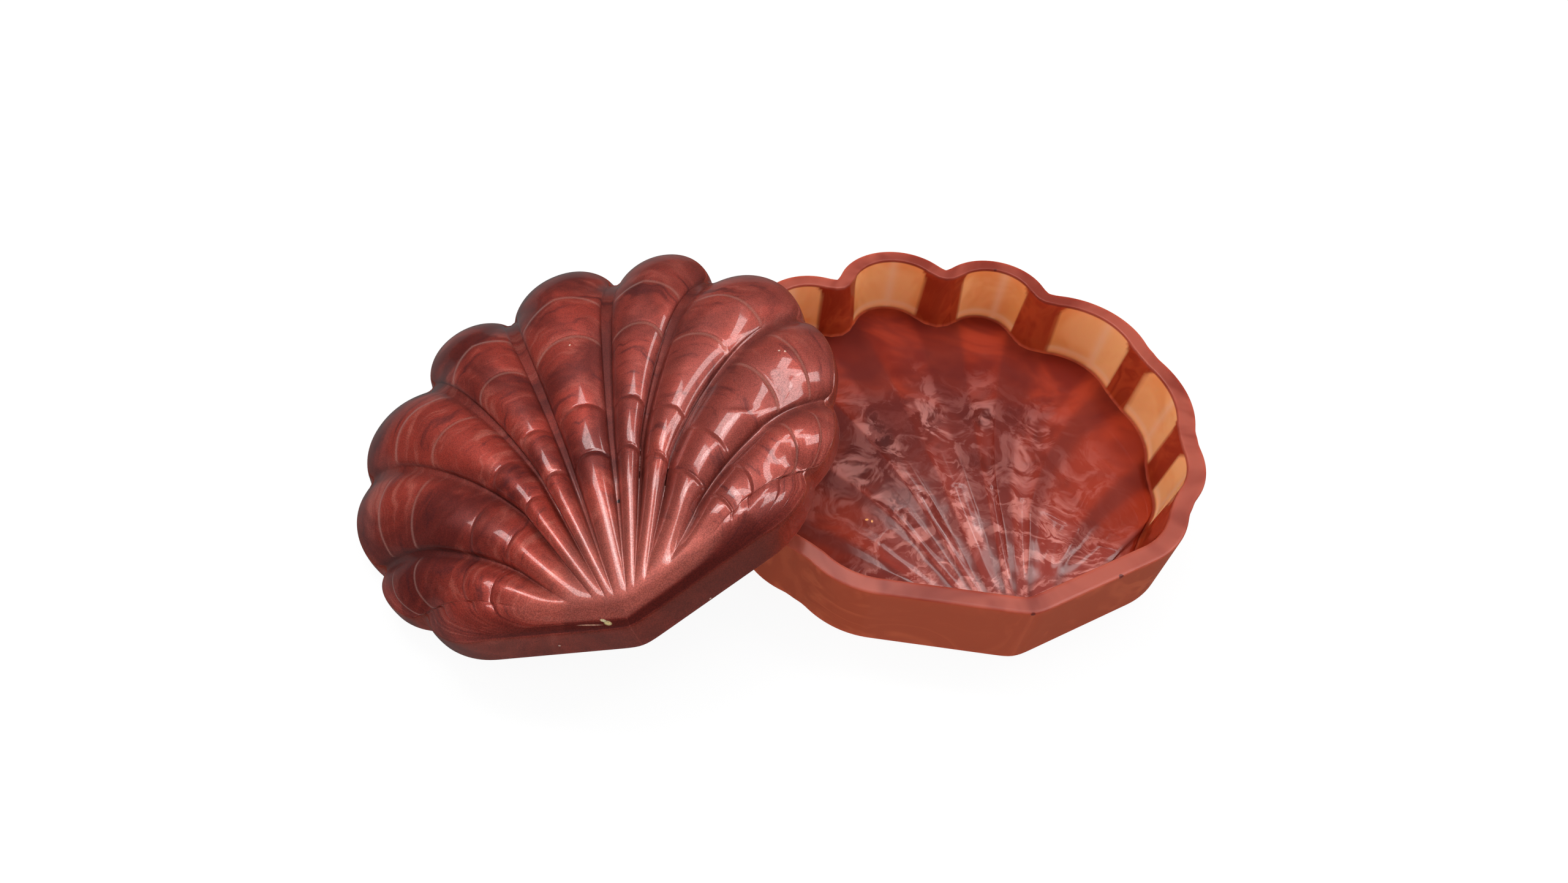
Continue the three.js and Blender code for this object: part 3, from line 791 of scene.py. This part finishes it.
def add_lid_ring(level, on_top=False, along=1.0):
    """One more ring of the lid, with how its resin is spread there."""
    steep = smoothstep(along, *SHOULDER_TOP) * (1 - smoothstep(along, *SHOULDER_FOOT))
    on_line = max(math.exp(-(((along - at) / LINE_HALF) ** 2)) for at, _, _ in LINE_STEPS)
    on_lobes = lid_outline.reach == 1
    spread = {
        # Painted shade in the grooves.
        "groove": smoothstep(in_groove, *GROOVE_SIDE) * smoothstep(along, *GROOVE_END) * on_top,
        "side_band": smoothstep(along, *BAND_EDGE),
        # Painted shade on the steep front shoulder, which faces away from the lamps.
        "shoulder_shade": steep * (1 - smoothstep(lid_outline.reach, *SHOULDER_SIDE)),
        # Painted highlight along the two outer growth lines.
        "growth_line_highlight": on_line * (1 - smoothstep(in_groove, *LINE_SIDE)) * on_lobes,
        "around": lid_outline.around,
        "along": along,
    }
    lid_rings.append(level)
    for mask, values in spread.items():
        lid_masks.setdefault(mask, []).append(np.ones(COLUMNS) * values)


plug_foot = PLUG_INSET + PLUG_BEVEL
lid_levels = [(30.0, -PLUG_HEIGHT), (14.0, -PLUG_HEIGHT), (plug_foot + 0.5, -PLUG_HEIGHT)]
lid_levels += [(PLUG_INSET + PLUG_BEVEL * t, -PLUG_HEIGHT * t) for t in (0.95, 0.66, 0.33, 0.05)]
lid_levels += [(PLUG_INSET - 0.3, 0), (2.5, 0), (1.0, 0)]
lid_levels += quarter(FOOT_ARRIS, 0, 0, FOOT_ARRIS, 4)
for level in lid_levels:
    add_lid_ring(lid_ring(*level))
lid_rim = lid_ring(RIM_INSET, 0, LID_NOTCH_CUT)
lid_rim[:, 2] = lid_height(lid_rim[:, :2], 1.0)
for part in np.linspace(0, 1, EDGE_RINGS + 1)[1:-1]:
    turn = part * math.pi / 2
    level = lid_ring(RIM_INSET * (1 - math.cos(turn)), 0, LID_NOTCH_CUT * part)
    level[:, 2] = FOOT_ARRIS + (lid_rim[:, 2] - FOOT_ARRIS) * math.sin(turn)
    add_lid_ring(level)
add_lid_ring(lid_rim)
for along, xy in zip(shares, relief_plan(lid_outline, lid_rim, TOP_FRONT_INSET, shares)):
    add_lid_ring(np.column_stack([xy, lid_height(xy, along)]), on_top=True, along=along)

lean_axis = Vector((math.cos(LEAN_HEADING), math.sin(LEAN_HEADING), 0))
lid = lofted(
    "lid_cast", lid_outline, lid_rings, lid_masks, underside_z=-PLUG_HEIGHT, turn=LID_TURN,
    place=Matrix.Translation(Vector(LID_PLACE) * MM) @ Matrix.Rotation(LID_LEAN, 4, lean_axis),
)
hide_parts("lid")
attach(lid, "root")

# Colours of the lid's resin: the dark and the light of its clouds, and the tints over them,
# some of them painted sheen, shade and highlights.
LID_RED = (0.18, 0.017, 0.012), (0.46, 0.052, 0.032)
# A painted sheen of the lamps on the right side.
RIGHT_SHEEN_ROSE = (0.62, 0.13, 0.095)
STREAK_ROSE, STREAK_WINE = (0.66, 0.17, 0.125), (0.10, 0.012, 0.014)
# The colour of the painted shade in the grooves.
GROOVE_SHADE = (0.06, 0.006, 0.005)
# A painted sheen on the plateau by the umbo.
UMBO_SHEEN_ROSE = (0.62, 0.16, 0.12)
# The colour of the painted shade on the front shoulder.
SHOULDER_SHADE = (0.13, 0.008, 0.004)
# The colour of the painted highlight on the outer growth lines.
LINE_HIGHLIGHT_PINK = (0.78, 0.34, 0.27)
BAND_AMBER = (0.24, 0.030, 0.010)

# Its marks: a painted gold glint of light with a thin pale line beside it on the front shoulder,
# as (colour, place, size, tilt), five pale specks and a dark pit.
LID_GLINT_GOLD, LID_GLINT_PALE, THIN_LINE_PINK = (0.95, 0.74, 0.36), (0.98, 0.82, 0.50), (0.75, 0.40, 0.28)
FRONT_GLINT = [
    (LID_GLINT_GOLD, (-33.2, -57.3, 23.5), (0.9, 0.9, 0.45), 0.0),
    (LID_GLINT_PALE, (-34.1, -57.0, 23.7), (0.8, 0.8, 0.25), 0.0),
    (THIN_LINE_PINK, (-36.6, -57.3, 22.6), (2.9, 1.5, 0.12), -0.18),
]
SPECK_PINK, SPECK_SIZE = (0.90, 0.62, 0.50), (0.3,) * 3
SPECKS = [
    (0.1, 1.9, 35.9), (1.4, 1.7, 35.9), (-47.8, 13.2, 26.0), (-42.9, -58.0, 15.9),
    (-14.4, -50.3, 20.6),
]
PIT_BLACK, PIT_PLACE, PIT_SIZE = (0.03, 0.004, 0.004), (-33.0, -31.2, 25.5), (0.6,) * 3

lid_resin = bpy.data.materials.new("lid_pearl_resin")
lid_resin.use_nodes = True
tree = lid_resin.node_tree
swirl = swirl_node(tree, cloud_scale=34.0, streak_scale=1.0)
cloud = grey_ramp(tree, swirl.outputs["Cloud"], (0.36, 0), (0.66, 1))
streaks = grey_ramp(tree, swirl.outputs["Streak"], (0.48, 0), (0.72, 1))
dark_streaks = grey_ramp(tree, swirl.outputs["Streak"], (0.3, 1), (0.46, 0))
from_right = reckoned(tree, "MULTIPLY", mask_of(tree, "around"), 1 / (LEFT_EAR + 1))
# Painted sheen: the right side is made rose where the lamps would shine on it.
right_sheen = grey_ramp(tree, from_right, (0.05, 0), (0.1, 0.4), (0.25, 0.4), (0.55, 0))
# Painted sheen: the plateau by the umbo is made rose.
umbo_sheen = grey_ramp(tree, mask_of(tree, "along"), (0.06, 0.55), (0.36, 0))
colour = mixed(tree, cloud, *LID_RED)
# Painted light among the tints: rose sheen on the right side and by the umbo, shade in the grooves
# and on the shoulder, and highlights on the growth lines.
for mask, strength, tint in (
    (right_sheen, 1, RIGHT_SHEEN_ROSE),
    (reckoned(tree, "MULTIPLY", streaks, cloud), 0.7, STREAK_ROSE),
    (dark_streaks, 0.6, STREAK_WINE),
    ("groove", 0.4, GROOVE_SHADE),
    (umbo_sheen, 1, UMBO_SHEEN_ROSE),
    ("shoulder_shade", 0.85, SHOULDER_SHADE),
    ("growth_line_highlight", 0.45, LINE_HIGHLIGHT_PINK),
    ("side_band", 0.5, BAND_AMBER),
):
    colour = tinted(tree, colour, mask, strength, tint)
# Painted highlight: a gold glint of light on the front shoulder, with a thin pale line beside it.
for tint, centre, size, tilt in FRONT_GLINT:
    colour = marked(tree, colour, tint, centre, size, tilt)
for centre in SPECKS:
    colour = marked(tree, colour, SPECK_PINK, centre, SPECK_SIZE)
colour = marked(tree, colour, PIT_BLACK, PIT_PLACE, PIT_SIZE)
grain = grey_ramp(tree, swirl.outputs["Grain"], (0.35, 0.62), (0.65, 1))
colour = mixed(tree, 1.0, colour, grain, "MULTIPLY")
shader = tree.nodes["Principled BSDF"]
tree.links.new(colour, shader.inputs["Base Color"])
set_values(shader, {
    "Metallic": 0.5,
    "Roughness": 0.4,
    "Specular IOR Level": 0.5,
    "Subsurface Weight": 0.3,
    "Subsurface Radius": (0.006, 0.002, 0.001),
    "Subsurface Scale": 1.0,
    "Coat Roughness": 0.07,
    "Coat IOR": 1.5,
})
tree.links.new(grain, shader.inputs["Coat Weight"])
lid.data.materials.append(lid_resin)

# Table top: the plain matt white surface that the box stands on. It is lit from within so that
# it stays near white and keeps only a faint contact shadow, and it is dark to reflections.
TABLE_HALF = 1.5
TABLE_DROP = -0.00003
TABLE_GREY = (0.08, 0.08, 0.08)
TABLE_GLOW, TABLE_REFLECTED = (0.92, 0.92, 0.92), (0.02, 0.02, 0.02)

table_mesh = bpy.data.meshes.new("table_top")
corners = [(-1, -1), (1, -1), (1, 1), (-1, 1)]
corners = [(x * TABLE_HALF, y * TABLE_HALF, TABLE_DROP) for x, y in corners]
table_mesh.from_pydata(corners, [], [(0, 1, 2, 3)])
table = bpy.data.objects.new("table_top", table_mesh)
bpy.context.scene.collection.objects.link(table)

table_white = bpy.data.materials.new("table_white")
table_white.use_nodes = True
tree = table_white.node_tree
shader = tree.nodes["Principled BSDF"]
set_values(shader, {
    "Base Color": (*TABLE_GREY, 1),
    "Roughness": 1.0,
    "Specular IOR Level": 0.0,
    "Emission Strength": 1.0,
})
ray = tree.nodes.new("ShaderNodeLightPath")
glow = mixed(tree, ray.outputs["Is Glossy Ray"], TABLE_GLOW, TABLE_REFLECTED)
tree.links.new(glow, shader.inputs["Emission Color"])
table_mesh.materials.append(table_white)

# Studio: an even white surround that is nearly dark to reflections, a frame of four soft lamps
# behind and above the box, and the photograph's own viewpoint.
WHITE, REFLECTED_SURROUND = (1.0, 1.0, 1.0), (0.05, 0.04, 0.04)
LAMP_AIM = Vector((0, 0, 0.02))
LAMP_DISTANCE = 0.75
LAMP_RADIANCE = 6.0

# The lamps, as (name, azimuth, elevation, half width, half height), in degrees.
LAMPS = [
    ("lamp_left", -47, 57, 6, 13), ("lamp_top", 5, 67, 28, 4),
    ("lamp_middle", 18, 56, 5, 6), ("lamp_right", 68, 52, 6, 10),
]

world = bpy.data.worlds.new("white_surround")
bpy.context.scene.world = world
world.use_nodes = True
tree = world.node_tree
ray = tree.nodes.new("ShaderNodeLightPath")
surround = mixed(tree, ray.outputs["Is Diffuse Ray"], REFLECTED_SURROUND, WHITE)
surround = mixed(tree, ray.outputs["Is Camera Ray"], surround, WHITE)
tree.links.new(surround, tree.nodes["Background"].inputs["Color"])


def soft_lamp(name, azimuth, elevation, half_width, half_height):
    """A flat lamp that faces the box, placed and sized by angles seen from it, in degrees."""
    turn, up = math.radians(azimuth), math.radians(elevation)
    towards = Vector((math.sin(turn) * math.cos(up), math.cos(turn) * math.cos(up), math.sin(up)))
    light = bpy.data.lights.new(name, "AREA")
    light.shape = "RECTANGLE"
    light.size = 2 * LAMP_DISTANCE * math.tan(math.radians(half_width))
    light.size_y = 2 * LAMP_DISTANCE * math.tan(math.radians(half_height))
    light.energy = LAMP_RADIANCE * math.pi * light.size * light.size_y
    lamp = bpy.data.objects.new(name, light)
    lamp.location = LAMP_AIM + towards * LAMP_DISTANCE
    lamp.rotation_mode = "QUATERNION"
    lamp.rotation_quaternion = (-towards).to_track_quat("-Z", "Y")
    bpy.context.scene.collection.objects.link(lamp)


for lamp_values in LAMPS:
    soft_lamp(*lamp_values)

PHOTO_WIDTH, FOCAL_PIXELS, SENSOR_WIDTH = 2560, 1480, 36
CAMERA_SHIFT = (0.0465, -0.0282)
CAMERA_NEAR = 0.01
CAMERA_PLACE = (-0.01460, -0.13929, 0.17414)
CAMERA_DOWN = math.radians(47.39)
CAMERA_ROLL = math.radians(0.484)

camera_data = bpy.data.cameras.new("camera")
camera_data.sensor_width = SENSOR_WIDTH
camera_data.lens = FOCAL_PIXELS / PHOTO_WIDTH * SENSOR_WIDTH
camera_data.shift_x, camera_data.shift_y = CAMERA_SHIFT
camera_data.clip_start = CAMERA_NEAR
camera = bpy.data.objects.new("camera", camera_data)
bpy.context.scene.collection.objects.link(camera)
camera.matrix_world = (
    Matrix.Translation(CAMERA_PLACE)
    @ Matrix.Rotation(math.pi / 2 - CAMERA_DOWN, 4, "X")
    @ Matrix.Rotation(CAMERA_ROLL, 4, "Z")
)
bpy.context.scene.camera = camera
bpy.context.scene.view_settings.view_transform = "Standard"
